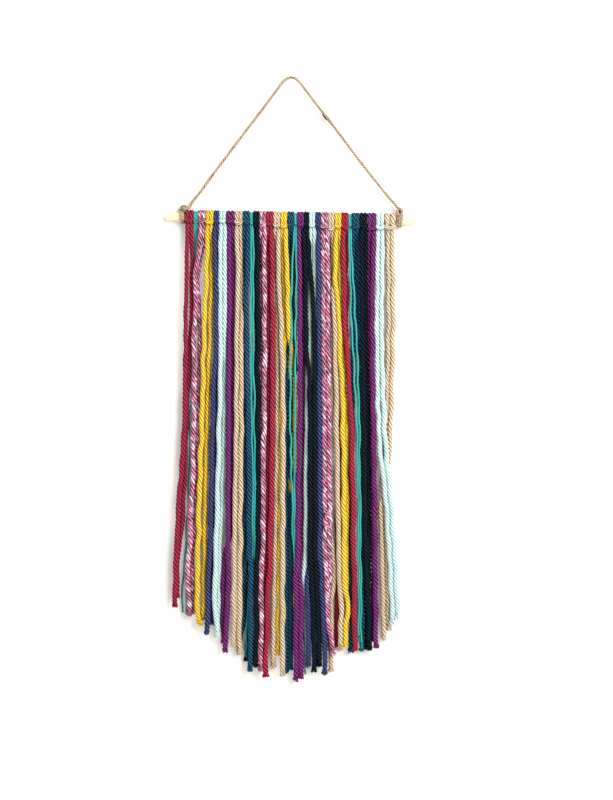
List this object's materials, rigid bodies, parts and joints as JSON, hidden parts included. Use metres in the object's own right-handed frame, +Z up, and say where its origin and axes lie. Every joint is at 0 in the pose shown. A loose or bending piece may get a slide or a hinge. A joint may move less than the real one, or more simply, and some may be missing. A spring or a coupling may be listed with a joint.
{
  "type": "yarn wall hanging on a wooden dowel with a twine hanger",
  "caption": "Yarn wall hanging: plied yarns in many colours, knotted side by side on a wooden dowel, hang in a pointed fringe; a jute twine hanger holds it on a nail.",
  "frame": {"origin": "the point where the underside of the twine hanger rests on its nail, at the top of the hanging", "axes": "+Z up, +X along the dowel to the right as seen from the front, +Y to the wall; the front faces -Y"},
  "size_m": [0.3048, 0.0175, 0.7358],
  "materials": {
    "wood": "bare sanded softwood, matt",
    "twine": "raw jute twine, hairy and matt",
    "burgundy": "plied acrylic yarn, soft sheen",
    "turquoise": "thin smooth acrylic yarn, soft sheen",
    "pink": "variegated plied yarn, soft sheen",
    "yellow": "plied acrylic yarn, soft sheen",
    "navy": "plied acrylic yarn, soft sheen",
    "aqua": "plied acrylic yarn, soft sheen",
    "purple": "plied acrylic yarn, soft sheen",
    "beige": "plied acrylic yarn, soft sheen",
    "tan": "plied acrylic yarn, soft sheen",
    "petrol": "plied acrylic yarn, soft sheen",
    "black": "plied acrylic yarn, soft sheen",
    "crimson": "plied acrylic yarn, soft sheen"
  },
  "bodies": {
    "root": {"dowel": "wood", "hanger_twine": "twine", "twine_tie_left": "twine", "twine_tie_right": "twine", "yarn_01_burgundy": "burgundy", "yarn_02_turquoise": "turquoise", "yarn_03_pink": "pink", "yarn_04_yellow": "yellow", "yarn_05_navy": "navy", "yarn_06_aqua": "aqua", "yarn_07_purple": "purple", "yarn_08_beige": "beige", "yarn_09_petrol": "petrol", "yarn_10_turquoise": "turquoise", "yarn_11_black": "black", "yarn_12_pink": "pink", "yarn_13_crimson": "crimson", "yarn_14_beige": "beige", "yarn_15_yellow": "yellow", "yarn_16_petrol": "petrol", "yarn_17_turquoise": "turquoise", "yarn_18_purple": "purple", "yarn_19_black": "black", "yarn_20_aqua": "aqua", "yarn_21_navy": "navy", "yarn_22_pink": "pink", "yarn_23_beige": "beige", "yarn_24_yellow": "yellow", "yarn_25_crimson": "crimson", "yarn_26_turquoise": "turquoise", "yarn_27_petrol": "petrol", "yarn_28_black": "black", "yarn_29_purple": "purple", "yarn_30_aqua": "aqua", "yarn_31_tan": "tan"}
  },
  "joints": []
}
